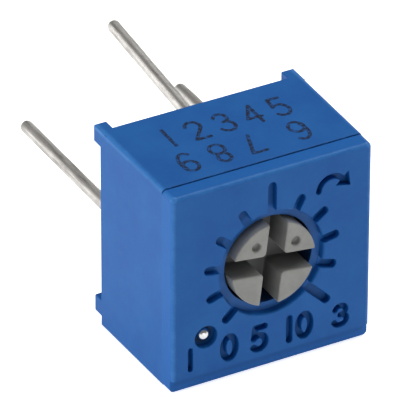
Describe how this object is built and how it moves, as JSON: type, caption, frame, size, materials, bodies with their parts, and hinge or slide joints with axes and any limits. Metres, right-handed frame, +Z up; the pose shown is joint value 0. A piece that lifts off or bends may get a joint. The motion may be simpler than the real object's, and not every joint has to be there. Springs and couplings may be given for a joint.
{
  "type": "trimmer potentiometer",
  "caption": "Square moulded trimmer potentiometer: a cross-slotted dial in front turns a wiper between stops, round pins behind solder into a board.",
  "frame": {"origin": "on the board seating plane of the standoffs, half way between the two end pins", "axes": "+X to the right seen from the dial, +Y back along the pins, +Z up towards the side of the middle pin"},
  "size_m": [0.0066, 0.0108, 0.0067],
  "materials": {
    "housing_plastic": "fine matt moulded, blue",
    "rotor_plastic": "matt moulded, warm light grey",
    "seal_rubber": "matt black",
    "contact_spring": "bright rolled spring metal",
    "ceramic_plate": "matt fired white",
    "resistor_ink": "fired dark ink",
    "fired_print": "dull fired silver",
    "tinned_wire": "dull tinned, lightly scuffed",
    "solder": "bright solder",
    "sealing_resin": "cured resin, dark blue",
    "ball_steel": "polished"
  },
  "bodies": {
    "housing": {"housing": "housing_plastic", "substrate": "ceramic_plate", "resistor_track": "resistor_ink", "end_pad_1": "fired_print", "end_pad_3": "fired_print", "collector_print": "fired_print", "pin_1": "tinned_wire", "pin_2": "tinned_wire", "pin_3": "tinned_wire", "solder_1": "solder", "solder_2": "solder", "solder_3": "solder", "potting": "sealing_resin", "vent_ball": "ball_steel"},
    "rotor": {"rotor": "rotor_plastic", "o_ring": "seal_rubber", "wiper": "contact_spring"}
  },
  "joints": [
    {"name": "rotor_turn", "type": "hinge", "parent": "housing", "child": "rotor", "pos_m": [0, -0.004, 0.00028], "axis": [0, 1, 0], "range_deg": [-142, 128]}
  ]
}
